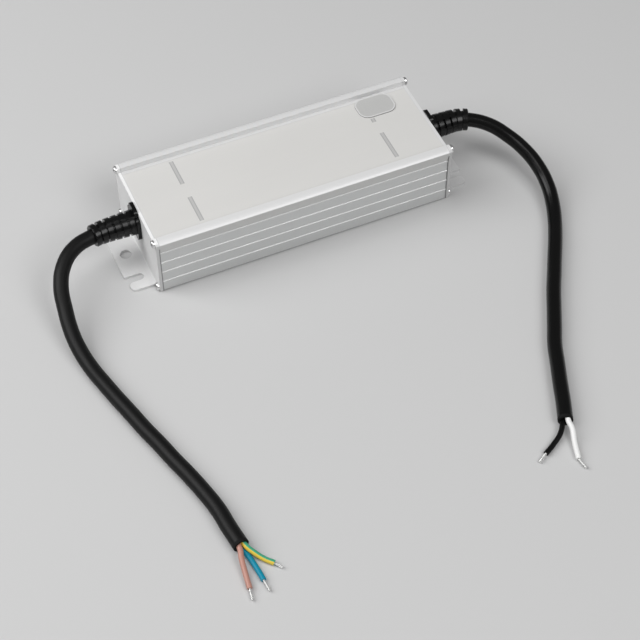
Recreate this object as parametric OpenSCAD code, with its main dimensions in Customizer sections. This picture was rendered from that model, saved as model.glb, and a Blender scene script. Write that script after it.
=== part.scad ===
// Sealed power supply: ribbed aluminium tube, two footed end plates, two moulded
// cable glands with round leads, and the board with its parts inside.
// X runs along the case towards the output end, -Y is the long side that faces the leads,
// Z is up, and z = 0 is the surface that the feet stand on. Millimetres.

/* [Case] */
// Length over the outer faces of the two end plates
case_len = 166.5; // [160:0.5:190]
// Width of the case over its side ridges
case_w = 61.5; // [60:0.5:70]
// Height of the case over its two top rails
case_h = 37; // [36.5:0.5:44]
// Thickness of the side walls between ridges
side_wall = 1.8; // [1.4:0.1:2.4]
// Thickness of the floor and of the top deck
deck_wall = 2; // [1.6:0.1:2.6]
// Depth of the top deck below the rails
deck_drop = 2.8; // [2:0.1:4]
// Distance of a rail's inner edge from the plane of the side ridges
rail_w = 4; // [4:0.1:6]
// Extra width of a rail at its root
rail_slope = 0.1; // [0.1:0.1:0.8]
// How far a rail's outer edge stands out past the side ridges
rail_over = 0.95; // [0.4:0.05:1.2]
// Radius of a rail's rounded shoulder
rail_round = 3.6; // [3.1:0.1:4.6]
// Width of a rail's rounded shoulder
rail_reach = 2.7; // [2:0.1:3]
// Height at which the sides begin to flare out to the rails
flare_z = 28.6; // [28:0.1:32]
// How far the side ridges stand proud
ridge_proud = 0.4; // [0.2:0.1:0.6]
// Distance from one side ridge to the next
ridge_pitch = 7.15; // [6.8:0.05:7.6]
// Number of ridges on each side
ridge_count = 4; // [2:1:4]

/* [End plates] */
// Thickness of the end plate sheet
plate_t = 1.5; // [1:0.1:2]
// Inside radius of the fold at the foot
fold_r = 0.8; // [0.4:0.1:1.5]
// Thickness of the end gasket
gasket_t = 0.5; // [0.4:0.1:1.5]
// Length of the foot's middle tab beyond the plate
tab_len = 14.5; // [13:0.5:20]
// Width of the foot's middle tab
tab_w = 30.4; // [24:0.2:32]
// Length of the foot's side ears beyond the plate
ear_len = 13.4; // [12:0.1:18]
// Width of the open screw slots
slot_w = 4.6; // [4.2:0.1:5.5]
// Distance from the plate to the blind end of a slot
slot_root = 4.5; // [3:0.1:6]
// Width over the two side ears
foot_w = 51; // [50:0.2:55]
// Corner radius of the side ears
foot_round = 2.3; // [0.5:0.1:2.8]
// Diameter of the hole in the middle tab
foot_hole_d = 6.2; // [4.5:0.1:7]
// Distance from the plate to the centre of the foot hole
foot_hole_x = 8.2; // [6:0.1:9]

/* [End screws] */
// Distance of the end screws from the plane of the side ridges
screw_inset = 2.25; // [2.15:0.05:2.75]
// Height of the lower screws
screw_low_z = 2.6; // [2.5:0.1:3]
// Depth of the upper screws below the rail crest
screw_top_drop = 1.9; // [1.8:0.1:2.4]
// Diameter of the screw bores in the tube
screw_bore_d = 2.2; // [1.8:0.1:2.4]
// Diameter of a pan head
screw_head_d = 4.4; // [3.8:0.1:4.4]
// Height of a pan head
screw_head_h = 1.5; // [1:0.1:2]
// Length of a screw below its head
screw_len = 10; // [6:0.5:16]

/* [Cable glands] */
// Height of the leads and glands above the floor
gland_z = 24; // [22:0.5:24]
// Length of a boot beyond the plate
boot_len = 24.7; // [24:0.1:28]
// Length of the straight part of a boot
boot_straight = 14.5; // [14.3:0.1:15]
// Diameter of a boot at its flange
boot_root_d = 13.8; // [13:0.1:15]
// Diameter of a boot at its free end
boot_tip_d = 12; // [11.4:0.1:12.6]
// Size across the flats of the straight part
boot_flat = 12.8; // [12.2:0.1:13.6]
// Distance from one gap between ribs to the next
rib_pitch = 3.95; // [3.8:0.05:4]
// Width of a gap between ribs
rib_gap = 1.4; // [1:0.1:1.6]
// Distance from the plate to the middle of the first gap
first_gap_x = 5.45; // [5:0.05:5.5]
// Width of the four webs that bridge each inner gap
web_w = 4.4; // [3:0.1:5]
// Width of the gland's lower flange
flange_w = 15; // [14.4:0.1:17]
// Thickness of the gland's flange
flange_t = 2; // [1.4:0.1:2.4]
// Width of the flange's upper ear
ear_w = 10; // [8:0.1:12]
// How far the upper ear stands above the deck
ear_proud = 1; // [0.4:0.1:2]
// Bend of the input boot
input_bend = 12; // [6:1:30]
// Bend of the output boot
output_bend = 28; // [6:1:34]

/* [Leads] */
// Diameter of the input lead
input_lead_d = 8; // [7:0.1:8.4]
// Diameter of the output lead
output_lead_d = 7.7; // [7:0.1:8.4]
// Diameter of an insulated core
core_d = 2.7; // [2.2:0.1:2.8]
// Diameter of a tinned core end
tip_d = 1.5; // [1:0.1:1.8]

/* [Adjuster] */
// Length of the plug's cap along the case
plug_len = 21.2; // [20:0.1:24]
// Width of the plug's cap across the case
plug_w = 14.8; // [14:0.1:17]
// Corner radius of the plug's cap
plug_r = 5.5; // [3:0.1:6]
// Thickness of the plug's cap
plug_cap_t = 0.6; // [0.4:0.1:1.5]
// Distance from the output plate's face to the middle of the plug
plug_from_end = 22.2; // [21:0.1:28]
// Gap between the plug's cap and the rail behind it
plug_gap = 1.2; // [0.2:0.1:4]
// Width of the cap's rim around its window
plug_rim = 2; // [1.5:0.1:3]
// Diameter of a trimmer's rotor
rotor_d = 3.8; // [3:0.1:4.2]
// Distance between the two rotors
rotor_gap = 9.5; // [8.5:0.5:10]

/* [Board] */
// Thickness of the circuit board
board_t = 1.6; // [1:0.1:1.8]
// Height of the board's underside above the floor
board_z = 6; // [6:0.1:7]
// Gap between the board's ends and the end plates
board_end_gap = 5; // [4.5:0.5:8]
// Thickness of the insulating film
film_t = 0.4; // [0.2:0.1:0.8]
// Thickness of the heat spreader
spreader_t = 3; // [2:0.1:4]

/* [Hidden] */
$fn = 64;
// Joining overlap of solids that are one piece
bite = 0.1;
// Clearance between seated pieces
fit = 0.1;
// Clearance of a screw shank in its bore, and how much wider the plate's holes are
shank_fit = 0.05;
screw_ease = 0.6;
// Clearance of a lead in its boot
lead_fit = 0.15;
// Clearance of a rotor in its trimmer
rotor_fit = 0.05;

end_x = case_len / 2;
tube_len = case_len - 2 * (plate_t + gasket_t);
deck_z = case_h - deck_drop;
side_y = case_w / 2 - ridge_proud;
wall_y = side_y - side_wall;
ceiling_z = deck_z - deck_wall;
rail_y = case_w / 2 - rail_w;
rail_root_y = rail_y - rail_slope;
rail_out_y = case_w / 2 + rail_over;
rail_land = 0.2;
lip_z = case_h - rail_round + sqrt(rail_round * rail_round - rail_reach * rail_reach);
bottom_edge = 0.4;
screw_y = case_w / 2 - screw_inset;
head_relief = 0.05;
screw_top_z = case_h - screw_top_drop;
post_r = screw_low_z;
rib_w = 1.75;
rib_t = 0.9;
board_top = board_z + board_t;
board_len = case_len - 2 * plate_t - 2 * board_end_gap;
board_w = 2 * (wall_y - 3 * fit);
neck_r = 6;
inner_flange_r = 6.9;
inner_flange_t = 1.5;
flange_drop = 0.7;
flange_corner_r = 3;
ear_corner_r = 2.5;
lead_in_x = end_x - plate_t - inner_flange_t - 1;
boot_core_root_r = 6;
boot_core_r = 4.8;
boot_overlap = 0.4;
bore_step = 0.1;
web_drop = 0.3;
collar_edge = 0.5;
gasket_lap = 0.5;
recess_w = 0.7;
recess_len = 2.5;
recess_depth = 0.9;
head_edge_r = 0.6;
plug_x = end_x - plug_from_end;
plug_y = rail_root_y - plug_gap - plug_w / 2;
window_r = plug_r - plug_rim;
plug_lip = 0.6;
plug_lip_t = 0.8;
screw_spots = [for (y = [-1, 1], z = [screw_low_z, screw_top_z]) [y * screw_y, z]];

// Points of the free leads: x, y, and the height of the lead's underside
input_route = [
    [-119, -5, 20], [-127.5, -12.5, 18], [-132.5, -22, 14], [-134.5, -33, 9],
    [-135.5, -44, 5], [-135, -55, 2], [-133, -67, 0], [-130.5, -78, 0], [-127.5, -90, 0],
    [-124.5, -101, 0], [-121.5, -112.5, 0], [-118, -124, 0], [-115, -135, 0],
    [-111.5, -146.5, 0], [-108.5, -158, 0], [-106, -170, 0], [-105, -181, 0],
    [-103.5, -193, 0]
];
output_route = [
    [117, -9.5, 19], [124, -18.5, 16], [129, -29, 13], [132, -40, 9], [132.5, -51, 4.5],
    [130, -62, 1.5], [125.5, -73, 0], [120, -83.5, 0], [114, -94, 0], [108, -104.5, 0],
    [102, -115, 0], [96.5, -125.5, 0], [91, -136, 0], [85.5, -146.5, 0], [81, -157.5, 0],
    [76.5, -168.5, 0], [72, -180, 0], [67.5, -190.5, 0]
];
// Where each core leaves its jacket's end, sideways and up from the middle
brown_seat = [1.5, 0.8];
blue_seat = [0, -1.8];
earth_seat = [-1.5, 0.8];
black_seat = [1.5, -0.8];
white_seat = [-1.2, 1.4];
// Points of the cores beyond the jacket, the last one where the insulation is cut
brown_route = [[-106, -199, 4], [-107, -206, 2.5], [-108, -214, 1.5]];
blue_route = [[-102, -199, 1.7], [-101, -206, 1.5], [-100.5, -212.5, 1.5]];
earth_route = [[-99.5, -198, 3.5], [-96, -202.5, 2], [-92.5, -206, 1.5]];
black_route = [[62, -195.5, 2.5], [56, -199.5, 1.7], [50.5, -202.5, 1.5]];
white_route = [[68, -196, 4.5], [66, -202.5, 2.5], [63.5, -211.5, 1.5]];
brown_end = [-109, -220, 1.2];
blue_end = [-100, -218.5, 1.2];
earth_end = [-90, -209.5, 1.2];
black_end = [45.5, -205.5, 1.2];
white_end = [64.5, -217.5, 1.2];
core_start = 1;
tip_start = 0.5;

// Round tube swept through points, with a ring of the given number of sides at each
function unit(v) = v / norm(v);
function heading(p, i) = unit(p[min(i + 1, len(p) - 1)] - p[max(i - 1, 0)]);
function ring(c, t, r, sides) =
    let (side = unit(cross(t, [0, 0, 1])), up = cross(side, t))
    [for (k = [0 : sides - 1]) c + r * (cos(360 * k / sides) * side + sin(360 * k / sides) * up)];
module swept_tube(path, d, sides) {
    last = len(path) - 1;
    points = [for (i = [0 : last]) each ring(path[i], heading(path, i), d / 2, sides)];
    skin = [
        for (i = [0 : last - 1], k = [0 : sides - 1])
        let (a = i * sides + k, b = i * sides + (k + 1) % sides)
        each [[a, b, a + sides], [b, b + sides, a + sides]]
    ];
    caps = [
        [for (k = [sides - 1 : -1 : 0]) k],
        [for (k = [0 : sides - 1]) last * sides + k]
    ];
    polyhedron(points, concat(skin, caps));
}

// Middle line of a boot, measured along it from the plate, for the output end
function bend_radius(bend) = (boot_len - boot_straight) * 180 / (PI * bend);
function boot_point(s, bend) =
    let (rho = bend_radius(bend), a = max(0, s - boot_straight) * 180 / (PI * rho))
    [end_x + min(s, boot_straight) + rho * sin(a), -rho * (1 - cos(a)), gland_z];
function lead_path(side, bend, d, route) = concat(
    [for (x = [lead_in_x, end_x + boot_straight / 2]) [side * x, 0, gland_z]],
    [for (k = [0 : 4]) let (p = boot_point(boot_straight + k * (boot_len - boot_straight) / 4, bend))
        [side * p.x, p.y, p.z]],
    [for (p = route) [p.x, p.y, p.z + d / 2]]
);

// Middle line of a core, square to its jacket's end at first, and of its tinned end
function core_path(jacket, d, seat, route) =
    let (last = len(jacket) - 1, t = unit(jacket[last] - jacket[last - 1]),
         side = unit(cross(t, [0, 0, 1])),
         start = jacket[last] + seat[0] * side + [0, 0, d / 2 + seat[1]])
    concat([start, start + core_start * t], route);
function tip_path(route, end) =
    let (last = len(route) - 1, t = unit(route[last] - route[last - 1]))
    [route[last], route[last] + tip_start * t, end];

// Turns a drawing in Y and Z into a solid that starts at x and is t long
module along_x(x, t) {
    translate([x, 0, 0])
        rotate([90, 0, 90])
            linear_extrude(t)
                children();
}
module at_both_sides() {
    children();
    mirror([1, 0]) children();
}
module rounded_rect(w, h, r) {
    square([w - 2 * r, h], center = true);
    square([w, h - 2 * r], center = true);
    for (x = [-1, 1], y = [-1, 1])
        translate([x * (w / 2 - r), y * (h / 2 - r)]) circle(r);
}

// Outline of the case's section, with its two rails; low_y is the half width below them
module case_outline(low_y) {
    half = [
        [low_y - bottom_edge, 0], [low_y, bottom_edge], [low_y, flare_z],
        [rail_out_y, lip_z - rail_land], [rail_out_y, case_h],
        [rail_y, case_h], [rail_root_y, deck_z]
    ];
    last = len(half) - 1;
    difference() {
        polygon(concat(half, [for (i = [last : -1 : 0]) [-half[i].x, half[i].y]]));
        at_both_sides()
            translate([rail_out_y - rail_reach, case_h - rail_round]) difference() {
                square(rail_round + 1);
                circle(rail_round);
            }
    }
}
module screw_bores(d) {
    for (p = screw_spots)
        translate(p) circle(d = d);
}
module case_section() {
    half_w = case_w / 2;
    case_outline(side_y);
    at_both_sides() {
        polygon([
            [wall_y, 0], [half_w - bottom_edge, 0], [half_w, bottom_edge],
            [half_w, bottom_edge + ridge_proud], [wall_y, bottom_edge + ridge_proud]
        ]);
        for (i = [1 : ridge_count])
            translate([side_y - ridge_proud / 4, i * ridge_pitch]) circle(ridge_proud * 5 / 4);
    }
}
module case_hollow() {
    difference() {
        translate([-wall_y, deck_wall]) square([2 * wall_y, ceiling_z - deck_wall]);
        at_both_sides() {
            translate([screw_y, screw_low_z]) circle(post_r);
            for (z = [board_z - fit - rib_t, board_top + fit])
                translate([wall_y - rib_w, z]) square([rib_w + bite, rib_t]);
        }
    }
}
module case_extrusion() {
    color("#d8d8d8") difference() {
        along_x(-tube_len / 2, tube_len) case_section();
        along_x(-tube_len / 2 - 1, tube_len + 2) case_hollow();
        along_x(-tube_len / 2 - 1, tube_len + 2) screw_bores(screw_bore_d);
        translate([plug_x, plug_y, ceiling_z - 1])
            linear_extrude(deck_wall + 2)
                rounded_rect(plug_len - 2 * plug_rim, plug_w - 2 * plug_rim, window_r);
    }
}

// End plate with its folded foot, drawn for the output end
module foot_outline() {
    ear_y = tab_w / 2 + slot_w;
    ear_side = foot_w / 2 - ear_y;
    ear_r = min(foot_round, 0.45 * ear_side);
    root = slot_root + slot_w / 2;
    difference() {
        union() {
            translate([fold_r, -tab_w / 2]) square([tab_len - fold_r, tab_w]);
            for (s = [0, 1]) mirror([0, s]) {
                translate([fold_r, ear_y]) square([ear_len - ear_r - fold_r, ear_side]);
                translate([fold_r, ear_y + ear_r])
                    square([ear_len - fold_r, ear_side - 2 * ear_r]);
                for (y = [ear_y + ear_r, foot_w / 2 - ear_r])
                    translate([ear_len - ear_r, y]) circle(ear_r);
                translate([fold_r, tab_w / 2 - bite])
                    square([root - fold_r, slot_w + 2 * bite]);
            }
        }
        translate([foot_hole_x, 0]) circle(d = foot_hole_d);
        for (s = [-1, 1])
            translate([root, s * (tab_w / 2 + slot_w / 2)]) circle(slot_w / 2);
    }
}
module foot_fold() {
    centre_z = plate_t + fold_r;
    translate([fold_r, 0, centre_z]) rotate([90, 0, 0]) intersection() {
        difference() {
            cylinder(r = centre_z, h = foot_w, center = true);
            cylinder(r = fold_r, h = foot_w + 2, center = true);
        }
        translate([-centre_z, -centre_z, -foot_w / 2]) cube([centre_z, centre_z, foot_w]);
    }
}
// Room for the lower screws' heads in a foot that reaches them
module head_reliefs() {
    along_x(0, tab_len + 1)
        for (s = [-1, 1])
            translate([s * screw_y, screw_low_z]) circle(screw_head_d / 2 + head_relief);
}
module end_plate() {
    color("#c4c6c8") translate([end_x, 0, 0]) difference() {
        union() {
            difference() {
                along_x(-plate_t, plate_t) case_outline(case_w / 2);
                translate([-plate_t - 1, -foot_w / 2, -1])
                    cube([plate_t + 2, foot_w, plate_t + fold_r + 1]);
            }
            foot_fold();
            linear_extrude(plate_t) foot_outline();
        }
        head_reliefs();
        along_x(-plate_t - 1, plate_t + 2) {
            screw_bores(screw_bore_d + screw_ease);
            translate([0, gland_z]) circle(neck_r + fit);
        }
    }
}
module end_plate_output() { end_plate(); }
module end_plate_input() { mirror([1, 0, 0]) end_plate(); }

module end_gasket() {
    half = screw_y - post_r - gasket_lap;
    low_z = screw_low_z + post_r;
    start_x = end_x - plate_t - gasket_t;
    color("#b6b8b8") difference() {
        along_x(start_x, gasket_t) case_outline(case_w / 2);
        along_x(start_x - 1, gasket_t + 2) {
            translate([-half, low_z]) square([2 * half, ceiling_z - gasket_lap - low_z]);
            screw_bores(screw_bore_d + screw_ease);
        }
    }
}
module end_gasket_output() { end_gasket(); }
module end_gasket_input() { mirror([1, 0, 0]) end_gasket(); }

// Pan-head screw along X with its head's seat at the origin
module pan_screw(head_d, head_h, shank_d, length) {
    head_r = head_d / 2;
    rotate([0, 90, 0]) difference() {
        union() {
            rotate_extrude() {
                square([head_r - head_edge_r, head_h]);
                square([head_r, head_h - head_edge_r]);
                translate([head_r - head_edge_r, head_h - head_edge_r]) circle(head_edge_r);
            }
            translate([0, 0, -length]) cylinder(d = shank_d, h = length + bite);
        }
        for (a = [45, 135])
            rotate([0, 0, a])
                translate([-recess_len / 2, -recess_w / 2, head_h - recess_depth])
                    cube([recess_len, recess_w, head_h]);
    }
}
module end_screws() {
    color("#e4e4e4")
        for (p = screw_spots)
            translate([end_x, p.x, p.y])
                pan_screw(screw_head_d, screw_head_h, screw_bore_d - 2 * shank_fit, screw_len);
}
module end_screws_output() { end_screws(); }
module end_screws_input() { mirror([1, 0, 0]) end_screws(); }

// Moulded gland: flange and ear on the plate, neck and inner flange through it, and a
// tapered ribbed boot. Four webs bridge its inner gaps, and its free end is bent.
function boot_r(s) = (boot_root_d + (boot_tip_d - boot_root_d) * s / boot_len) / 2;
function gap_s(i) = first_gap_x + i * rib_pitch;
module along_boot(s, bend) {
    turn = max(0, s - boot_straight) * 180 / (PI * bend_radius(bend));
    translate(boot_point(s, bend)) rotate([0, 0, -turn]) rotate([0, 90, 0]) children();
}
module rib(s0, s1, bend) {
    along_boot((s0 + s1) / 2, bend)
        cylinder(r1 = boot_r(s0), r2 = boot_r(s1), h = s1 - s0, center = true);
}
module collar(s0, bend) {
    t = boot_len - s0;
    r = boot_tip_d / 2;
    along_boot((s0 + boot_len) / 2, bend)
        translate([0, 0, -t / 2]) rotate_extrude()
            polygon([[0, 0], [r, 0], [r, t - collar_edge], [r - collar_edge, t], [0, t]]);
}
module bent_rod(r, bend, before, beyond) {
    rho = bend_radius(bend);
    translate([end_x + boot_straight, -rho, gland_z])
        rotate([0, 0, 90 - bend - beyond])
            rotate_extrude(angle = before + bend + beyond)
                translate([rho, 0]) circle(r);
}
module boot_barrel(bend) {
    start_s = gap_s(0) - rib_gap / 2;
    web_len = gap_s(2) + rib_gap / 2 - start_s + 2 * bite;
    translate([end_x, 0, gland_z]) rotate([0, 90, 0])
        cylinder(r1 = boot_core_root_r, r2 = boot_core_r, h = boot_straight + boot_overlap);
    intersection() {
        union() {
            rib(0, start_s, bend);
            for (i = [0, 1])
                rib(gap_s(i) + rib_gap / 2, gap_s(i + 1) - rib_gap / 2, bend);
        }
        translate([end_x, -boot_flat / 2, gland_z - boot_flat / 2])
            cube([boot_straight, boot_flat, boot_flat]);
    }
    translate([end_x + start_s - bite + web_len / 2, 0, gland_z]) intersection() {
        union() {
            cube([web_len, web_w, boot_flat], center = true);
            cube([web_len, boot_flat, web_w], center = true);
        }
        rotate([0, 90, 0]) cylinder(r = boot_flat / 2 - web_drop, h = web_len, center = true);
    }
}
module boot_end(bend) {
    bent_rod(boot_core_r, bend, 0, 0);
    for (i = [2, 3])
        rib(gap_s(i) + rib_gap / 2, gap_s(i + 1) - rib_gap / 2, bend);
    collar(gap_s(4) + rib_gap / 2, bend);
}
module gland_flange() {
    low_z = gland_z - flange_w / 2 - flange_drop;
    high_z = gland_z + flange_w / 2;
    top_z = deck_z + ear_proud;
    along_x(end_x, flange_t) {
        translate([0, (low_z + high_z) / 2])
            rounded_rect(flange_w, high_z - low_z, flange_corner_r);
        translate([0, (gland_z + top_z) / 2])
            rounded_rect(ear_w, top_z - gland_z, ear_corner_r);
    }
}
module cable_gland(bend, lead_d) {
    bore_r = lead_d / 2 + lead_fit;
    color("#1c1c1c") difference() {
        union() {
            gland_flange();
            boot_barrel(bend);
            boot_end(bend);
            along_x(end_x - plate_t - bite, plate_t + 2 * bite)
                translate([0, gland_z]) circle(neck_r);
            along_x(end_x - plate_t - inner_flange_t, inner_flange_t)
                translate([0, gland_z]) circle(inner_flange_r);
        }
        along_x(lead_in_x, end_x + boot_straight + boot_overlap - lead_in_x)
            translate([0, gland_z]) circle(bore_r + bore_step);
        bent_rod(bore_r, bend, 2, 4);
    }
}
module cable_gland_output() { cable_gland(output_bend, output_lead_d); }
module cable_gland_input() { mirror([1, 0, 0]) cable_gland(input_bend, input_lead_d); }

module input_cable() {
    color("#262626")
        swept_tube(lead_path(-1, input_bend, input_lead_d, input_route), input_lead_d, 12);
}
module output_cable() {
    color("#141414")
        swept_tube(lead_path(1, output_bend, output_lead_d, output_route), output_lead_d, 12);
}
module core(jacket, d, seat, route) {
    swept_tube(core_path(jacket, d, seat, route), core_d, 8);
}
module brown_core() {
    color("#c08070") core(input_route, input_lead_d, brown_seat, brown_route);
}
module blue_core() {
    color("#0090b4") core(input_route, input_lead_d, blue_seat, blue_route);
}
module earth_core() {
    color("#7ab45a") core(input_route, input_lead_d, earth_seat, earth_route);
}
module black_core() {
    color("#1a1a1a") core(output_route, output_lead_d, black_seat, black_route);
}
module white_core() {
    color("#e6e6e4") core(output_route, output_lead_d, white_seat, white_route);
}
module core_tip(route, end) {
    color("#c8c8c4") swept_tube(tip_path(route, end), tip_d, 8);
}
module brown_tip() { core_tip(brown_route, brown_end); }
module blue_tip() { core_tip(blue_route, blue_end); }
module earth_tip() { core_tip(earth_route, earth_end); }
module black_tip() { core_tip(black_route, black_end); }
module white_tip() { core_tip(white_route, white_end); }

// Rubber plug: cap on the deck, stem through the window and a lip below it
module adjuster_plug() {
    stem_len = plug_len - 2 * plug_rim - 2 * fit;
    stem_w = plug_w - 2 * plug_rim - 2 * fit;
    stem_r = window_r - fit;
    color("#b4b4b4") translate([plug_x, plug_y, 0]) {
        translate([0, 0, deck_z])
            linear_extrude(plug_cap_t) rounded_rect(plug_len, plug_w, plug_r);
        translate([0, 0, ceiling_z - plug_lip_t])
            linear_extrude(deck_wall + plug_lip_t + bite) rounded_rect(stem_len, stem_w, stem_r);
        translate([0, 0, ceiling_z - plug_lip_t])
            linear_extrude(plug_lip_t)
                rounded_rect(stem_len + 2 * plug_lip, stem_w + 2 * plug_lip, stem_r + plug_lip);
    }
}

module circuit_board() {
    color("#2f6b4a")
        translate([-board_len / 2, -board_w / 2, board_z]) cube([board_len, board_w, board_t]);
}
module insulating_film() {
    half = screw_y - post_r - 4 * fit;
    color("#e8e4c8")
        translate([-board_len / 2, -half, deck_wall]) cube([board_len, 2 * half, film_t]);
}

// Leads from each cable's inner end, turned down to the board
elbow_in = 2;
elbow_r = 4;
module elbow_lead(y) {
    bend_x = lead_in_x - elbow_in;
    translate([bend_x, y, gland_z]) rotate([0, 90, 0]) cylinder(d = core_d, h = elbow_in);
    translate([bend_x, y, gland_z - elbow_r]) rotate([90, 0, 0])
        rotate([0, 0, 90]) rotate_extrude(angle = 90) translate([elbow_r, 0]) circle(d = core_d);
    translate([bend_x - elbow_r, y, board_top])
        cylinder(d = core_d, h = gland_z - elbow_r - board_top);
}
module input_leads() {
    mirror([1, 0, 0])
        for (i = [-1 : 1])
            color(["#c08070", "#0090b4", "#7ab45a"][i + 1]) elbow_lead(i * (core_d + 2 * fit));
}
module output_leads() {
    for (i = [-1, 1])
        color(i < 0 ? "#1a1a1a" : "#e6e6e4") elbow_lead(i * (core_d / 2 + fit));
}

// Parts that stand on the board: the x and y of each middle, then its sizes. The varistor
// and the thermistor keep their distance from the board's near edge
varistor_inset = 12.25;
thermistor_inset = 11.25;
fuse_at = [-66, 14];
fuse_size = [8.5, 8];
varistor_at = [-66, varistor_inset - board_w / 2];
varistor_size = [10.5, 4.5];
thermistor_at = [-57, thermistor_inset - board_w / 2];
thermistor_size = [9, 4];
x_capacitor_at = [[-58, 2], [-34, -8]];
x_capacitor_size = [6, 15, 12];
y_capacitor_at = [[-34, 9], [-27, 9]];
y_capacitor_size = [7, 3];
bulk_at = [5, -13];
bulk_size = [18, 22];
output_capacitor_at = [[48, -18], [48, -8.5], [48, 1]];
output_capacitor_size = [8, 18];
optocoupler_at = [[26, 14], [35, 14]];
optocoupler_size = [6.5, 4.6, 3.5];
chip_at = [[-8, 8], [60, 4]];
chip_size = [5, 4, 1.5];
can_bevel = 0.6;
disc_leg_d = 0.8;
disc_leg_h = 1.2;
module on_board(at) {
    translate([at.x, at.y, board_top]) children();
}
module block(w, d, h) {
    translate([-w / 2, -d / 2, 0]) cube([w, d, h]);
}
module disc_part(size) {
    r = size[0] / 2;
    for (s = [-1, 1])
        translate([0, s * r / 2, 0]) cylinder(d = disc_leg_d, h = r);
    translate([0, 0, r + disc_leg_h]) rotate([0, 90, 0])
        cylinder(r = r, h = size[1], center = true);
}
module can_part(size) {
    cylinder(d = size[0], h = size[1] - can_bevel);
    translate([0, 0, size[1] - can_bevel])
        cylinder(d1 = size[0], d2 = size[0] - 2 * can_bevel, h = can_bevel);
}
module fuse() { color("#2c2c30") on_board(fuse_at) can_part(fuse_size); }
module varistor() { color("#2860a8") on_board(varistor_at) disc_part(varistor_size); }
module thermistor() { color("#30483c") on_board(thermistor_at) disc_part(thermistor_size); }
module x_capacitors() {
    s = x_capacitor_size;
    color("#c8b040") for (p = x_capacitor_at) on_board(p) block(s.x, s.y, s.z);
}
module y_capacitors() {
    color("#3c78b8") for (p = y_capacitor_at) on_board(p) disc_part(y_capacitor_size);
}
module bulk_capacitor() { color("#2c3c6c") on_board(bulk_at) can_part(bulk_size); }
module output_capacitors() {
    color("#2c3c6c") for (p = output_capacitor_at) on_board(p) can_part(output_capacitor_size);
}
module optocouplers() {
    s = optocoupler_size;
    color("#e4e4e4") for (p = optocoupler_at) on_board(p) block(s.x, s.y, s.z);
}
module control_chips() {
    s = chip_size;
    color("#202020") for (p = chip_at) on_board(p) block(s.x, s.y, s.z);
}

// Upright ring choke: core, two windings and the base it stands on
choke_at = [-45, -8];
choke_r = 9;
choke_hole_r = 5;
choke_t = 7;
choke_wire = 1.2;
choke_arc = 140;
choke_base_size = [12, 16, 1];
choke_post = [5, 2];
choke_axis_z = choke_base_size.z + choke_r + choke_wire + 4 * fit;
module at_choke() {
    on_board(choke_at) translate([0, 0, choke_axis_z]) rotate([0, 90, 0]) children();
}
module choke_shape(ease) {
    difference() {
        cylinder(r = choke_r + ease, h = choke_t + 2 * ease, center = true);
        cylinder(r = choke_hole_r - ease, h = choke_t + 4, center = true);
    }
}
module choke_core() {
    color("#4c5c50") at_choke() choke_shape(0);
}
module choke_windings() {
    w = choke_wire;
    color("#b8733c") at_choke()
        for (start = [90 - choke_arc / 2, 270 - choke_arc / 2]) difference() {
            rotate([0, 0, start]) rotate_extrude(angle = choke_arc)
                translate([choke_hole_r - w, -choke_t / 2 - w])
                    square([choke_r - choke_hole_r + 2 * w, choke_t + 2 * w]);
            choke_shape(fit / 2);
        }
}
module choke_base() {
    s = choke_base_size;
    color("#303030") on_board(choke_at) {
        block(s.x, s.y, s.z);
        block(choke_post.x, choke_post.y, choke_axis_z - choke_r - fit);
    }
}

// Ferrite pair with an upright middle leg, its bobbin and its winding
ferrite_z = 1;
bobbin_t = 0.8;
pin_row_w = 2.6;
pin_row_gap = 0.3;
bridge_w = 6;
module ferrite_pair(w, d, h, leg_r, yoke, side) {
    translate([0, 0, ferrite_z]) {
        block(w, d, yoke);
        translate([0, 0, h - yoke]) block(w, d, yoke);
        cylinder(r = leg_r, h = h);
        for (s = [-1, 1])
            translate([s * (w - side) / 2, 0, 0]) block(side, d, h);
    }
}
module bobbin(w, d, h, leg_r, yoke, side) {
    low = ferrite_z + yoke + fit;
    high = ferrite_z + h - yoke - fit;
    row_y = d / 2 + pin_row_gap + pin_row_w / 2;
    inner_w = w - 2 * side - 2 * fit;
    difference() {
        union() {
            for (z = [low, high - bobbin_t])
                translate([0, 0, z]) cylinder(d = inner_w - 2 * fit, h = bobbin_t);
            translate([0, 0, low]) cylinder(r = leg_r + 1, h = high - low);
            for (s = [-1, 1]) {
                translate([0, s * row_y, 0]) block(inner_w, pin_row_w, low + bobbin_t);
                translate([0, s * (row_y - bridge_w / 2), low]) block(inner_w / 2, bridge_w, bobbin_t);
            }
        }
        cylinder(r = leg_r + fit, h = h + 2);
    }
}
module winding(w, h, leg_r, yoke, side) {
    low = ferrite_z + yoke + fit + bobbin_t;
    length = h - 2 * (yoke + fit + bobbin_t);
    translate([0, 0, low]) difference() {
        cylinder(r = w / 2 - side - bobbin_t - 2 * fit, h = length);
        translate([0, 0, -1]) cylinder(r = leg_r + 1 + fit / 2, h = length + 2);
    }
}
boost_at = [-17, -11];
boost_w = 20;
boost_d = 16;
boost_h = 20;
boost_leg = 3.6;
boost_yoke = 3;
boost_side = 2.8;
module boost_choke_core() {
    color("#3c3c40") on_board(boost_at)
        ferrite_pair(boost_w, boost_d, boost_h, boost_leg, boost_yoke, boost_side);
}
module boost_choke_bobbin() {
    color("#282828") on_board(boost_at)
        bobbin(boost_w, boost_d, boost_h, boost_leg, boost_yoke, boost_side);
}
module boost_choke_winding() {
    color("#c07a40") on_board(boost_at)
        winding(boost_w, boost_h, boost_leg, boost_yoke, boost_side);
}
main_at = [28.5, -6];
main_w = 26;
main_d = 19;
main_h = 22;
main_leg = 4.6;
main_yoke = 3.4;
main_side = 3.6;
module transformer_core() {
    color("#3c3c40") on_board(main_at)
        ferrite_pair(main_w, main_d, main_h, main_leg, main_yoke, main_side);
}
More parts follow.
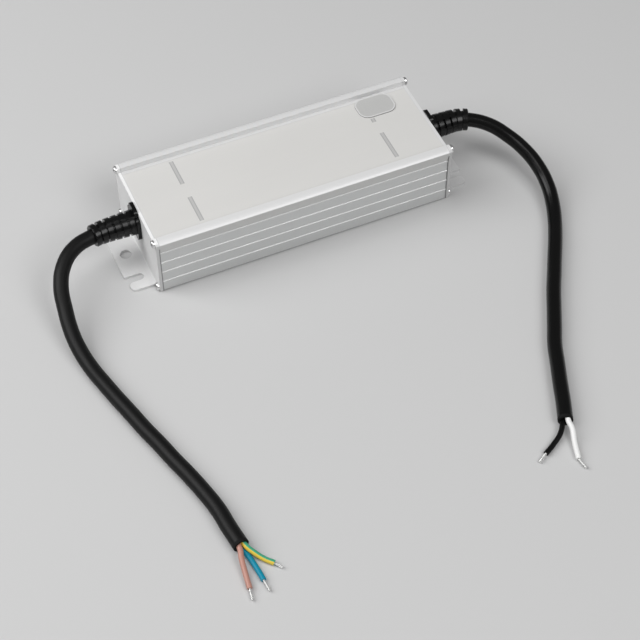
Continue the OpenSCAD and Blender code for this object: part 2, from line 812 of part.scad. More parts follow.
module transformer_bobbin() {
    color("#282828") on_board(main_at)
        bobbin(main_w, main_d, main_h, main_leg, main_yoke, main_side);
}
module transformer_winding() {
    color("#d8b448") on_board(main_at)
        winding(main_w, main_h, main_leg, main_yoke, main_side);
}

// Drum choke of the output
drum_at = [60, -12];
drum_r = 6;
drum_core_r = 3;
drum_h = 14;
drum_flange_t = 2;
drum_winding_r = 5.6;
module output_choke_core() {
    color("#3c3c40") on_board(drum_at) {
        cylinder(r = drum_core_r, h = drum_h);
        for (z = [0, drum_h - drum_flange_t])
            translate([0, 0, z]) cylinder(r = drum_r, h = drum_flange_t);
    }
}
module output_choke_winding() {
    length = drum_h - 2 * drum_flange_t;
    color("#b8733c") on_board(drum_at) translate([0, 0, drum_flange_t]) difference() {
        cylinder(r = drum_winding_r, h = length);
        translate([0, 0, -1]) cylinder(r = drum_core_r + fit / 2, h = length + 2);
    }
}

// Power devices stand against the heat spreader bar along the far side wall
spreader_x = [-51, 43];
spreader_y = wall_y - fit - spreader_t;
spreader_low = board_top + fit + rib_t + 1;
spreader_top = ceiling_z - 2;
bridge_x = -38;
bridge_size = [22, 3.4, 17];
bridge_drop = 10;
bridge_pitch = 5.1;
transistor_x = [-18, -5];
rectifier_x = [22, 35];
device_w = 10;
device_pitch = 2.54;
tab_t = 1.3;
tab_low = 9;
tab_high = 2.7;
body_t = 4.4;
body_low = 12.6;
body_high = 3.4;
leg_t = 0.5;
leg_w = 0.8;
leg_y = 2.8;
tab_hole_rise = 15;
tab_hole_z = spreader_low + tab_hole_rise;
tab_hole_d = 3.6;
device_bore_d = 2.6;
device_head_d = 5.2;
device_head_h = 1.8;
module device_legs(count, pitch, drop) {
    for (i = [0 : count - 1])
        translate([(i - (count - 1) / 2) * pitch - leg_w / 2, -leg_y, board_top])
            cube([leg_w, leg_t, tab_hole_z - drop - board_top + bite]);
}
module tab_bore(t) {
    translate([0, 1, tab_hole_z]) rotate([90, 0, 0]) cylinder(d = tab_hole_d, h = t + 2);
}
module device(x) {
    translate([x, spreader_y, 0]) difference() {
        union() {
            translate([-device_w / 2, -tab_t, tab_hole_z - tab_low])
                cube([device_w, tab_t, tab_low + tab_high]);
            translate([-device_w / 2, -body_t, tab_hole_z - body_low])
                cube([device_w, body_t, body_low - body_high]);
            device_legs(3, device_pitch, body_low);
        }
        tab_bore(body_t);
    }
}
module power_transistors() {
    color("#242424") for (x = transistor_x) device(x);
}
module output_rectifiers() {
    color("#242424") for (x = rectifier_x) device(x);
}
module bridge_rectifier() {
    s = bridge_size;
    color("#242424") translate([bridge_x, spreader_y, 0]) difference() {
        union() {
            translate([-s.x / 2, -s.y, tab_hole_z - bridge_drop]) cube(s);
            device_legs(4, bridge_pitch, bridge_drop);
        }
        tab_bore(s.y);
    }
}
module heat_spreader() {
    color("#c0c0c0") difference() {
        translate([spreader_x[0], spreader_y, spreader_low])
            cube([spreader_x[1] - spreader_x[0], spreader_t, spreader_top - spreader_low]);
        for (x = concat([bridge_x], transistor_x, rectifier_x))
            translate([x, wall_y + 1, tab_hole_z]) rotate([90, 0, 0])
                cylinder(d = device_bore_d, h = spreader_t + 2);
    }
}
module device_screw(x, seat_t) {
    translate([x, spreader_y - seat_t, tab_hole_z]) rotate([0, 0, -90])
        pan_screw(device_head_d, device_head_h, device_bore_d - 2 * shank_fit,
                  seat_t + spreader_t - 4 * fit);
}
module device_screws() {
    color("#d0d0d0") {
        for (x = concat(transistor_x, rectifier_x)) device_screw(x, tab_t);
        device_screw(bridge_x, bridge_size.y);
    }
}

// Upright board that carries the two trimmers under the window
riser_len = 20;
riser_t = 1.6;
trimmer_w = 7;
trimmer_d = 5;
trimmer_h = 7.5;
trimmer_drop = 3.2;
trimmer_shift = 1;
trimmer_top = ceiling_z - trimmer_drop;
trimmer_y = plug_y + trimmer_shift;
rotor_h = 2.2;
rotor_proud = 0.6;
rotor_slot_w = 0.6;
rotor_slot_depth = 0.8;
module adjuster_board() {
    color("#2f6b4a")
        translate([plug_x - riser_len / 2, trimmer_y + trimmer_d / 2, board_top])
            cube([riser_len, riser_t, trimmer_top - board_top]);
}
module trimmer(side) {
    color("#2c5ca0")
        translate([plug_x + side * rotor_gap / 2, trimmer_y, trimmer_top - trimmer_h])
            difference() {
                block(trimmer_w, trimmer_d, trimmer_h);
                translate([0, 0, trimmer_h + rotor_proud - rotor_h])
                    cylinder(d = rotor_d + 2 * rotor_fit, h = rotor_h + 1);
            }
}
module rotor(side) {
    color("#d8c890")
        translate([plug_x + side * rotor_gap / 2, trimmer_y, trimmer_top + rotor_proud - rotor_h])
            difference() {
                translate([0, 0, rotor_fit]) cylinder(d = rotor_d, h = rotor_h - rotor_fit);
                translate([-rotor_d, -rotor_slot_w / 2, rotor_h - rotor_slot_depth])
                    cube([2 * rotor_d, rotor_slot_w, rotor_slot_depth + 1]);
            }
}
module voltage_trimmer() { trimmer(-1); }
module voltage_rotor() { rotor(-1); }
module current_trimmer() { trimmer(1); }
module current_rotor() { rotor(1); }

case_extrusion();
end_plate_input();
end_plate_output();
end_gasket_input();
end_gasket_output();
end_screws_input();
end_screws_output();
cable_gland_input();
cable_gland_output();
input_cable();
output_cable();
brown_core();
blue_core();
earth_core();
black_core();
white_core();
brown_tip();
blue_tip();
earth_tip();
black_tip();
white_tip();
adjuster_plug();
circuit_board();
insulating_film();
input_leads();
output_leads();
fuse();
varistor();
thermistor();
choke_base();
choke_core();
choke_windings();
x_capacitors();
y_capacitors();
bridge_rectifier();
boost_choke_core();
boost_choke_bobbin();
boost_choke_winding();
bulk_capacitor();
power_transistors();
output_rectifiers();
heat_spreader();
device_screws();
transformer_core();
transformer_bobbin();
transformer_winding();
output_capacitors();
output_choke_core();
output_choke_winding();
optocouplers();
control_chips();
adjuster_board();
voltage_trimmer();
voltage_rotor();
current_trimmer();
current_rotor();
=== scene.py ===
"""Sealed power supply: satin aluminium case, folded end plates, ribbed glands, two free leads."""

import math

import bmesh
import bpy
from mathutils import Matrix, Vector


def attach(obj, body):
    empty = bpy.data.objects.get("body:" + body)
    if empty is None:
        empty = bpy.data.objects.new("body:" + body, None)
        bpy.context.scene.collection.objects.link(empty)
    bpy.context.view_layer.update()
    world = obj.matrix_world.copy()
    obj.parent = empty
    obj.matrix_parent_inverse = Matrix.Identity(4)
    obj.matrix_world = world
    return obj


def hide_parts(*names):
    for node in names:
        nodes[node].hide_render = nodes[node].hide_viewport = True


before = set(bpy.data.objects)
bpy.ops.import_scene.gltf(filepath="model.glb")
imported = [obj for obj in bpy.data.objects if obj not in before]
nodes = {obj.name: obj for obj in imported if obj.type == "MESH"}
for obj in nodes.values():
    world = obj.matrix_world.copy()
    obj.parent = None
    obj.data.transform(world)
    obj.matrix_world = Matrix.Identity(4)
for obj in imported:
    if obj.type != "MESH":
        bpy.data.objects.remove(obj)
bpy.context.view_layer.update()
MM = 0.001


# Camera, at the viewing angle of the photograph

CAMERA_PLACE = (-0.24017, -0.60151, 0.69275)
CAMERA_TURN = (39.2874, 0.2134, -23.6591)
CAMERA_LENS = 98.22

camera_data = bpy.data.cameras.new("camera")
camera_data.lens = CAMERA_LENS
camera_data.sensor_width = 36
camera_data.clip_start = 0.01
camera_data.clip_end = 50
camera = bpy.data.objects.new("camera", camera_data)
camera.location = CAMERA_PLACE
camera.rotation_euler = [math.radians(a) for a in CAMERA_TURN]
bpy.context.collection.objects.link(camera)
bpy.context.scene.camera = camera
bpy.context.scene.view_settings.view_transform = "Standard"


# Sizes of the case, glands and leads, in millimetres, with the boots' bends in degrees

END_X = 83.25
DECK_Z = 34.2
GLAND_Z = 24
BOOT_LEN = 24.7
BOOT_STRAIGHT = 14.5
INPUT_BEND = 12
OUTPUT_BEND = 28
INPUT_LEAD_D = 8.0
OUTPUT_LEAD_D = 7.7
CORE_D = 2.7
BUNDLE_D = 1.3
JACKET_T = 1.3
# How much of a lead is in its boot, of a core in its jacket, and of a bare wire in its core
IN_BOOT = 8
IN_JACKET = 14
IN_CORE = 1
# The cut end of a jacket: how far the lead stops short of it, how far back its own ring goes,
# how deep its filler is set, and its chamfers and clearance
END_SHORT = 1.5
END_BACK = 1.6
FILLER_DEPTH = 1.1
END_CHAMFER = 0.12
END_SHOULDER = 0.15
END_CLEARANCE = 0.02

# Each lead's route beyond its boot, with the height of its underside
INPUT_ROUTE = [
    (-119, -5, 20), (-127.5, -12.5, 18), (-132.5, -22, 14), (-134.5, -33, 9),
    (-135.5, -44, 5), (-135, -55, 2), (-133, -67, 0), (-130.5, -78, 0), (-127.5, -90, 0),
    (-124.5, -101, 0), (-121.5, -112.5, 0), (-118, -124, 0), (-115, -135, 0),
    (-111.5, -146.5, 0), (-108.5, -158, 0), (-106, -170, 0), (-105, -181, 0),
    (-103.5, -193, 0),
]
OUTPUT_ROUTE = [
    (117, -9.5, 19), (124, -18.5, 16), (129, -29, 13), (132, -40, 9), (132.5, -51, 4.5),
    (130, -62, 1.5), (125.5, -73, 0), (120, -83.5, 0), (114, -94, 0), (108, -104.5, 0),
    (102, -115, 0), (96.5, -125.5, 0), (91, -136, 0), (85.5, -146.5, 0), (81, -157.5, 0),
    (76.5, -168.5, 0), (72, -180, 0), (67.5, -190.5, 0),
]


# Free leads: each follows its boot's bend, then its route to the cut end


def boot_point(s, bend):
    """Point of the boot's middle line, s along it from the end plate."""
    rho = (BOOT_LEN - BOOT_STRAIGHT) / math.radians(bend)
    a = max(0, s - BOOT_STRAIGHT) / rho
    return Vector((
        END_X + min(s, BOOT_STRAIGHT) + rho * math.sin(a), -rho * (1 - math.cos(a)), GLAND_Z
    ))


def lead_points(side, bend, d, route):
    """Middle line of a lead, from inside its boot to just before its cut end."""
    inside = [boot_point(BOOT_LEN - IN_BOOT * k / 2, bend) for k in (2, 1, 0)]
    points = [Vector((side * p.x, p.y, p.z)) for p in inside]
    return points + [Vector((x, y, z + d / 2)) for x, y, z in route]


def curve_piece(name, points, d, sides):
    """A round cord as one open curve through points, which are in millimetres."""
    data = bpy.data.curves.new(name, "CURVE")
    data.dimensions = "3D"
    data.bevel_depth = 1
    data.twist_mode = "Z_UP"
    data.bevel_resolution = sides
    data.use_fill_caps = True
    data.resolution_u = 6
    spline = data.splines.new("BEZIER")
    spline.bezier_points.add(len(points) - 1)
    for point, place in zip(spline.bezier_points, points):
        point.co = place * MM
        point.radius = d / 2 * MM
        point.handle_left_type = point.handle_right_type = "AUTO"
    piece = bpy.data.objects.new(name, data)
    bpy.context.collection.objects.link(piece)
    return piece


def cut_frame(route, d):
    """Middle of a lead's cut end, the way the lead runs there, and the way across it."""
    last, before = Vector(route[-1]), Vector(route[-2])
    along = (last - before).normalized()
    across = along.cross(Vector((0, 0, 1))).normalized()
    return last + Vector((0, 0, d / 2)), along, across


def core_points(route, d, seat, beyond):
    """Middle line of a core, from inside the jacket, square to its cut end at first."""
    cut, along, across = cut_frame(route, d)
    start = cut + across * seat[0] + Vector((0, 0, seat[1]))
    return [start - along * IN_JACKET, start + along] + [Vector(p) for p in beyond]


# Each core's lead, its seat on the cut end, its points beyond that, and its bare wire's end
CORES = {
    "brown": (
        "input", (1.5, 0.8), [(-106, -199, 4), (-107, -206, 2.5), (-108, -214, 1.5)],
        (-109, -220, 1.2),
    ),
    "blue": (
        "input", (0, -1.8), [(-102, -199, 1.7), (-101, -206, 1.5), (-100.5, -212.5, 1.5)],
        (-100, -218.5, 1.2),
    ),
    "earth": (
        "input", (-1.5, 0.8), [(-99.5, -198, 3.5), (-96, -202.5, 2), (-92.5, -206, 1.5)],
        (-90, -209.5, 1.2),
    ),
    "black": (
        "output", (1.5, -0.8), [(62, -195.5, 2.5), (56, -199.5, 1.7), (50.5, -202.5, 1.5)],
        (45.5, -205.5, 1.2),
    ),
    "white": (
        "output", (-1.2, 1.4), [(68, -196, 4.5), (66, -202.5, 2.5), (63.5, -211.5, 1.5)],
        (64.5, -217.5, 1.2),
    ),
}
# Each lead's side of the case, bend, diameter, route and length in metres
LEADS = {
    "input": (-1, INPUT_BEND, INPUT_LEAD_D, INPUT_ROUTE, 0.221),
    "output": (1, OUTPUT_BEND, OUTPUT_LEAD_D, OUTPUT_ROUTE, 0.223),
}


def finish_mesh(bm, name, smooth_angle=40):
    """Turns a bmesh into an object at the origin, its faces outwards and smooth between its edges."""
    bmesh.ops.remove_doubles(bm, verts=bm.verts, dist=1e-7)
    bmesh.ops.recalc_face_normals(bm, faces=bm.faces)
    for face in bm.faces:
        face.smooth = True
    for edge in bm.edges:
        if len(edge.link_faces) == 2:
            edge.smooth = edge.calc_face_angle() < math.radians(smooth_angle)
    mesh = bpy.data.meshes.new(name)
    bm.to_mesh(mesh)
    bm.free()
    piece = bpy.data.objects.new(name, mesh)
    bpy.context.collection.objects.link(piece)
    return piece


def lathed(bm, profile, steps=48):
    """Spins a closed outline of (radius, height) points, in millimetres, about Z."""
    verts = [bm.verts.new((r * MM, 0, z * MM)) for r, z in profile]
    edges = [bm.edges.new((a, b)) for a, b in zip(verts, verts[1:])]
    bmesh.ops.spin(
        bm, geom=verts + edges, axis=(0, 0, 1), cent=(0, 0, 0), angle=2 * math.pi,
        steps=steps, use_merge=True,
    )


def aim(place, along):
    """Matrix that takes +Z at the origin to the way along, at place in millimetres."""
    turn = Vector(along).normalized().to_track_quat("Z", "Y").to_matrix().to_4x4()
    return Matrix.Translation(Vector(place) * MM) @ turn


def jacket_end(name, lead):
    """The cut end of a jacket: its wall as a ring, and the dark filler set back inside it."""
    _, _, d, route, _ = LEADS[lead]
    cut, along, _ = cut_frame(route, d)
    outer_r = d / 2 - END_CLEARANCE
    inner_r = d / 2 - JACKET_T
    bm = bmesh.new()
    lathed(bm, [
        (0, -FILLER_DEPTH), (inner_r, -FILLER_DEPTH), (inner_r, -END_CHAMFER),
        (inner_r + END_CHAMFER, 0), (d / 2 - END_SHOULDER, 0), (outer_r, -END_CHAMFER),
        (outer_r, -END_BACK), (0, -END_BACK),
    ])
    bmesh.ops.transform(bm, matrix=aim(cut, along), verts=bm.verts)
    return finish_mesh(bm, name)


def bare_strands(name, start, end, strands=7, turns=1.3, steps=36):
    """A bare wire end: fine strands laid in a twist round a middle one."""
    start, end = Vector(start), Vector(end)
    long = (end - start).length + IN_CORE
    strand_r = BUNDLE_D / 6
    bm = bmesh.new()
    for k in range(strands):
        out = BUNDLE_D / 2 - strand_r if k else 0
        angle = 2 * math.pi * k / (strands - 1)
        ring = bmesh.ops.create_circle(bm, segments=8, radius=strand_r * MM)["verts"]
        place = Vector((out * math.cos(angle), out * math.sin(angle), -IN_CORE)) * MM
        bmesh.ops.translate(bm, verts=ring, vec=place)
        edges = list({edge for vert in ring for edge in vert.link_edges})
        bmesh.ops.spin(
            bm, geom=ring + edges, axis=(0, 0, 1), cent=(0, 0, 0), angle=2 * math.pi * turns,
            dvec=(0, 0, long / steps * MM), steps=steps,
        )
    bmesh.ops.holes_fill(bm, edges=[edge for edge in bm.edges if edge.is_boundary])
    bmesh.ops.transform(bm, matrix=aim(start, end - start), verts=bm.verts)
    return finish_mesh(bm, name, smooth_angle=50)


leads, cores, strands, ends = {}, {}, {}, {}
for lead, (side, bend, d, route, length) in LEADS.items():
    points = lead_points(side, bend, d, route)
    cut, along, _ = cut_frame(route, d)
    points[-1] = cut - along * END_SHORT
    leads[lead] = curve_piece(f"{lead}_lead", points, d, sides=10)
    ends[lead] = jacket_end(f"{lead}_jacket_end", lead)
    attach(leads[lead], "case")
    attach(ends[lead], "case")
    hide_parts(f"{lead}_cable")
for colour, (lead, seat, beyond, tip) in CORES.items():
    _, _, d, route, _ = LEADS[lead]
    points = core_points(route, d, seat, beyond)
    cores[colour] = curve_piece(f"{colour}_insulation", points, CORE_D, sides=6)
    strands[colour] = bare_strands(f"{colour}_strands", beyond[-1], tip)
    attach(cores[colour], "case")
    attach(strands[colour], "case")
    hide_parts(f"{colour}_core")
    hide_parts(f"{colour}_tip")
    length = sum((b - a).length for a, b in zip(points, points[1:])) * MM


# Materials


class Signal:
    """A shader socket that adds, subtracts and multiplies as a number does."""

    def __init__(self, finish, socket):
        self.finish, self.socket = finish, socket

    def _maths(self, operation, *values):
        return self.finish.node("ShaderNodeMath", {"operation": operation}, dict(enumerate(values)))

    def __add__(self, other):
        return self._maths("ADD", self, other)

    def __sub__(self, other):
        return self._maths("SUBTRACT", self, other)

    def __mul__(self, other):
        return self._maths("MULTIPLY", self, other)

    def __rsub__(self, other):
        return self._maths("SUBTRACT", other, self)

    __radd__ = __add__

    def below(self, limit):
        return self._maths("LESS_THAN", self, limit)

    def above(self, limit):
        return self._maths("GREATER_THAN", self, limit)

    def between(self, low, high):
        return self.above(low) * self.below(high)

    def near(self, value, reach):
        return self._maths("COMPARE", self, value, reach)

    def size(self):
        return self._maths("ABSOLUTE", self)

    def sine(self):
        return self._maths("SINE", self)

    def root(self):
        return self._maths("SQRT", self)

    def least(self, other):
        return self._maths("MINIMUM", self, other)

    def most(self, other):
        return self._maths("MAXIMUM", self, other)

    def angle(self, other):
        """Angle of the point (self, other) about the origin, in radians."""
        return self._maths("ARCTAN2", other, self)

    def around(self, middle, pitch):
        """Distance from the nearest of a row of places, a pitch apart, one of them at middle."""
        return self._maths("WRAP", self, middle + pitch / 2, middle - pitch / 2) - middle


class Finish:
    """A material with one Principled shader, whose plain values are set on its own sockets."""

    def __init__(self, name, **values):
        self.material = bpy.data.materials.new(name)
        self.material.use_nodes = True
        self.tree = self.material.node_tree
        self.tree.nodes.clear()
        self.shader = self.tree.nodes.new("ShaderNodeBsdfPrincipled")
        output = self.tree.nodes.new("ShaderNodeOutputMaterial")
        self.tree.links.new(self.shader.outputs["BSDF"], output.inputs["Surface"])
        self.set(**values)

    def feed(self, node, key, value):
        socket = node.inputs[key]
        if isinstance(value, Signal):
            self.tree.links.new(value.socket, socket)
        elif socket.type == "RGBA" and len(value) == 3:
            socket.default_value = (*value, 1)
        else:
            socket.default_value = value

    def set(self, **values):
        for key, value in values.items():
            self.feed(self.shader, key.replace("_", " "), value)
        return self

    def node(self, kind, settings=None, inputs=None, output=0):
        """Any other node, from its settings, which come first, and its sockets' values."""
        node = self.tree.nodes.new(kind)
        for key, value in (settings or {}).items():
            setattr(node, key, value)
        for key, value in (inputs or {}).items():
            self.feed(node, key, value)
        return Signal(self, node.outputs[output])

    def place(self, scale=(1, 1, 1)):
        """Object coordinates, in metres, times a scale."""
        where = self.node("ShaderNodeTexCoord", output="Object")
        return self.node("ShaderNodeMapping", None, {"Vector": where, "Scale": scale})

    def split(self, where):
        node = self.tree.nodes.new("ShaderNodeSeparateXYZ")
        self.feed(node, 0, where)
        return [Signal(self, socket) for socket in node.outputs]

    def axes(self):
        """The three object coordinates, in millimetres."""
        return self.split(self.place((1 / MM,) * 3))

    def round_cord(self):
        """Place round a cord's skin, from 0 to 1."""
        return self.split(self.node("ShaderNodeTexCoord", output="UV"))[1]

    def noise(self, size, longer=(1, 1, 1), detail=2):
        """Noise with features of a size in millimetres, some times longer along each axis."""
        scale = tuple(1 / (size * MM * k) for k in longer)
        return self.node(
            "ShaderNodeTexNoise", None,
            {"Vector": self.place(scale), "Scale": 1, "Detail": detail, "Roughness": 0.55}, "Fac",
        )

    def cells(self, size, feature="F1"):
        """Distance to the nearest, or next, middle of square cells of a size in millimetres."""
        return self.node(
            "ShaderNodeTexVoronoi", {"feature": feature, "distance": "CHEBYCHEV"},
            {"Vector": self.place((1 / (size * MM),) * 3), "Scale": 1}, "Distance",
        )

    def mix(self, factor, a, b):
        """One colour laid over another by a factor."""
        node = self.tree.nodes.new("ShaderNodeMix")
        node.data_type = "RGBA"
        for socket, value in (("Factor", factor), ("A", a), ("B", b)):
            index = next(
                i for i, s in enumerate(node.inputs)
                if s.name == socket and s.enabled and (socket == "Factor" or s.type == "RGBA")
            )
            self.feed(node, index, value)
        return Signal(self, next(s for s in node.outputs if s.enabled and s.type == "RGBA"))

    def bump(self, height, strength, distance):
        """Feeds a height, in units of a distance in millimetres, to the shader's normal."""
        normal = self.node(
            "ShaderNodeBump", None,
            {"Height": height, "Strength": strength, "Distance": distance * MM}, "Normal",
        )
        return self.set(Normal=normal)


def grey(level, red=1.0, green=1.0, blue=1.0):
    """A display grey of 0 to 255 as a linear colour, with a tint."""
    v = level / 255
    v = v / 12.92 if v <= 0.04045 else ((v + 0.055) / 1.055) ** 2.4
    return (v * red, v * green, v * blue)


def shown(red, green, blue):
    """A display colour, with parts of 0 to 255, as a linear colour."""
    return (grey(red)[0], grey(green)[0], grey(blue)[0])


def dimmed(colour, by):
    return tuple(c * by for c in colour)


def dress(piece, finish):
    """Gives a piece its finish in every slot."""
    piece.data.materials.clear()
    piece.data.materials.append(finish.material)
    if piece.type == "MESH":
        for face in piece.data.polygons:
            face.material_index = 0


CASE_LEVEL = 226
CASE_METAL = 0.35
# Each printed double rule: its middle in X, then its two ends in Y
RULES = [(-54.9, 23.3, 5.7), (-54.9, -4.4, -22.4), (55.7, 9.8, 7), (55.7, -2, -21.6)]
# How far its lines are from that middle, half their width, and half that of the tint between
RULE_LINE_OFF, RULE_LINE_HALF, RULE_TINT_HALF = 0.9, 0.28, 0.62
# How far out from the middle plane the parts of the case end or begin
PANEL_HALF = 24.4
MARGIN_HALF = 24.75
DECK_HALF = 26.7
CREST_HALF = 27
FLANK_HALF = 30
FOOT_HALF = 30.4
FLARE_HALF = 30.45
RIDGE_HALF = 30.6
# The heights at which they begin or end, and how near the deck's own height counts as the deck
FOOT_TOP = 0.85
RIDGE_LOW, RIDGE_TOP = 2, 28.6
FLARE_LOW = 29.4
SHOULDER_Z = 35.4
DECK_REACH = 0.3


def case_aluminium():
    """Satin anodised extrusion: die lines on its sides, a printed panel on its deck, painted shade on
    its flanks, flares and bottom edge, and painted highlights on its ridges.
    """
    finish = Finish("case_aluminium")
    x, y, z = finish.axes()
    wide = y.size()
    die_lines = finish.noise(0.35, (300, 1, 1), 3)
    grain = finish.noise(0.16, detail=2)
    cloud = finish.noise(22, (3, 1, 1))
    deck = z.near(DECK_Z, DECK_REACH) * wide.below(DECK_HALF)
    panel = deck * wide.below(PANEL_HALF)
    margin = deck * wide.below(MARGIN_HALF) * (1 - panel)
    # The ridges are given a painted highlight, paler than the sides
    ridge = wide.above(RIDGE_HALF) * z.between(RIDGE_LOW, RIDGE_TOP)
    # The bottom edge is given painted shade, for the shadow under the case
    foot = wide.above(FOOT_HALF) * z.below(FOOT_TOP)
    # The flanks, and the flares under the lips, are given painted shade
    flank_shade = wide.above(FLANK_HALF) * z.between(FOOT_TOP, SHOULDER_Z)
    flare_shade = wide.above(FLARE_HALF) * z.between(FLARE_LOW, SHOULDER_Z)
    rail = z.above(SHOULDER_Z)
    crest = rail * wide.above(CREST_HALF)
    rule = 0
    for middle, high, low in RULES:
        off = (x - middle).size()
        lines = off.near(RULE_LINE_OFF, RULE_LINE_HALF) * 0.75 + off.below(RULE_TINT_HALF) * 0.45
        rule = rule + lines * y.between(low, high)
    shade = die_lines * (0.6 - deck * 0.45) + grain * (0.15 + deck * 0.45) + cloud * 0.25
    bare = finish.mix(shade, grey(CASE_LEVEL - 10), grey(CASE_LEVEL + 10))
    cream = (1.01, 1, 0.975)
    printed = finish.mix(shade, grey(CASE_LEVEL - 22, *cream), grey(CASE_LEVEL - 4, *cream))
    colour = finish.mix(panel, bare, printed)
    # Each part's weight, how far its level is from the case's, and its tint: painted shade on the
    # flanks, flares and bottom edge, a painted highlight on the ridges
    for weight, past, tint in (
        (margin * 0.35, -45, (1, 1, 1)),
        (flank_shade * 0.5, -24, (0.975, 1, 0.99)),
        (ridge * 0.8, 22, (1, 1, 1)),
        (foot * 0.7, -90, (1, 1, 1)),
        (flare_shade * 0.7, -14, (1.01, 1, 0.985)),
        (rail * 0.5 + crest * 0.3, -2, (1, 1, 1)),
        (rule * panel, -72, (1, 1, 1.02)),
    ):
        colour = finish.mix(weight, colour, grey(CASE_LEVEL + past, *tint))
    finish.set(
        Base_Color=colour,
        Metallic=CASE_METAL - panel * 0.25 - rail * 0.2 + ridge * 0.4,
        Roughness=0.4 + panel * 0.15 - ridge * 0.16 + die_lines * 0.06 + cloud * 0.04,
    )
    return finish.bump(die_lines * (1 - deck * 0.8) + grain * (0.3 + deck * 0.5), 0.25, 0.03)


# A plate's side edges lie beyond PLATE_SIDE, and the rim of its top one within PLATE_RIM; the top rim
# gets a painted highlight and the side edges painted shade
PLATE_SIDE = 30.7
PLATE_RIM = 0.05


def sheet_aluminium(name, level, metal, roughness, longer, edge_highlight=None):
    """Rolled sheet or bar, its grain along one axis, with, if a level is given, a painted highlight
    of that level along its top edge and painted shade on its side edges.
    """
    finish = Finish(name, Metallic=metal)
    rolled = finish.noise(0.3, longer, 3)
    cloud = finish.noise(9)
    colour = finish.mix(rolled * 0.6 + cloud * 0.4, grey(level - 9), grey(level + 8))
    if edge_highlight:
        x, y, z = finish.axes()
        top_edge_highlight = z.above(DECK_Z - PLATE_RIM) * x.size().below(END_X - PLATE_RIM)
        plate_side_shade = y.size().above(PLATE_SIDE)
        colour = finish.mix(top_edge_highlight * 0.8, colour, grey(edge_highlight))
        colour = finish.mix(plate_side_shade * 0.8, colour, grey(level - 16))
    finish.set(Base_Color=colour, Roughness=roughness + rolled * 0.08 + cloud * 0.05)
    return finish.bump(rolled, 0.2, 0.03)


# Where the screws lie, where the bottoms of their recesses are, and where their heads begin
SCREW_Y = 28.5
SCREW_LOW_Z, SCREW_HIGH_Z = 2.6, 35.1
RECESS_FROM, RECESS_TO, RECESS_R = 83.3, 84.5, 1.7
HEAD_FOOT_X, HEAD_RIM_R = 84, 2.2


def screw_steel():
    """Bright plated screw heads, with painted shade in the bottom of their cross recesses and round
    the rim of each head.
    """
    finish = Finish("screw_steel", Metallic=1.0)
    x, y, z = finish.axes()
    wide = y.size() - SCREW_Y
    low, high = z - SCREW_LOW_Z, z - SCREW_HIGH_Z
    out = (wide * wide + (low * low).least(high * high)).root()
    deep = x.size().between(RECESS_FROM, RECESS_TO) * out.below(RECESS_R)
    rim = x.size().below(HEAD_FOOT_X) * out.above(HEAD_RIM_R)
    plating = finish.noise(0.5)
    bright = finish.mix(plating, grey(215), grey(252))
    finish.set(
        # Painted shade: full in the recesses, partly round each head's rim
        Base_Color=finish.mix(deep.most(rim * 0.6), bright, grey(24, 1, 0.97, 0.92)),
        Roughness=0.2 + plating * 0.12 + deep * 0.3,
    )
    return finish.bump(finish.noise(0.12), 0.1, 0.02)


TONE_SPREAD = 0.14


def moulding(name, colour, roughness, grain=0.5, depth=0.04, **values):
    """Moulded rubber or plastic with a fine grain and a slight change of tone."""
    finish = Finish(name, **values)
    fine = finish.noise(grain, detail=3)
    broad = finish.noise(12)
    finish.set(
        Base_Color=finish.mix(
            broad * 0.6 + fine * 0.4,
            dimmed(colour, 1 - TONE_SPREAD), dimmed(colour, 1 + TONE_SPREAD),
        ),
        Roughness=roughness - 0.05 + fine * 0.1,
    )
    return finish.bump(fine, 0.3, depth)


# The plug's middle, the size and corner radius of its cap, and its lip's width
PLUG_X, PLUG_Y = 61.05, 18.05
PLUG_LEN, PLUG_W, PLUG_R = 21.2, 14.8, 5.5
LIP_W = 0.75
PLUG_FOOT_Z = DECK_Z + 0.5


def plug_rubber():
    """Grey moulded plug: a painted highlight as a paler lip round its cap, and painted shade on its
    edge down to the deck.
    """
    finish = Finish("plug_rubber")
    x, y, z = finish.axes()
    far_x = (x - PLUG_X).size() - (PLUG_LEN / 2 - PLUG_R)
    far_y = (y - PLUG_Y).size() - (PLUG_W / 2 - PLUG_R)
    past_x, past_y = far_x.most(0), far_y.most(0)
    inside = PLUG_R - (past_x * past_x + past_y * past_y).root()
    inside = inside.least(PLUG_R - far_x.most(far_y))
    fine = finish.noise(0.6, detail=3)
    tone = finish.mix(fine, grey(178, 1, 1, 0.985), grey(192, 1, 1, 0.985))
    # Painted highlight on the lip round the cap, then painted shade on the sides below PLUG_FOOT_Z
    tone = finish.mix(inside.below(LIP_W) * 0.8, tone, grey(214))
    tone = finish.mix(z.below(PLUG_FOOT_Z) * 0.8, tone, grey(120))
    finish.set(Base_Color=tone, Roughness=0.58 + fine * 0.1)
    return finish.bump(fine, 0.3, 0.05)


# Where the gasket's painted shade lies: beyond this half width and below this height
SIDE_SHADE_HALF = 29
SIDE_SHADE_TOP = 33


def gasket_rubber():
    """Grey sheet rubber, with painted shade where it runs down the case's sides."""
    finish = Finish("gasket_rubber")
    _, y, z = finish.axes()
    fine = finish.noise(0.5, detail=3)
    gasket_side_shade = y.size().above(SIDE_SHADE_HALF) * z.below(SIDE_SHADE_TOP)
    rubber = finish.mix(fine, grey(200), grey(216))
    finish.set(
        Base_Color=finish.mix(gasket_side_shade, rubber, grey(134)), Roughness=0.55 + fine * 0.1
    )
    return finish.bump(fine, 0.3, 0.03)


# Half of a stripe's width, as a part of the way round
STRIPE_HALF = 0.22


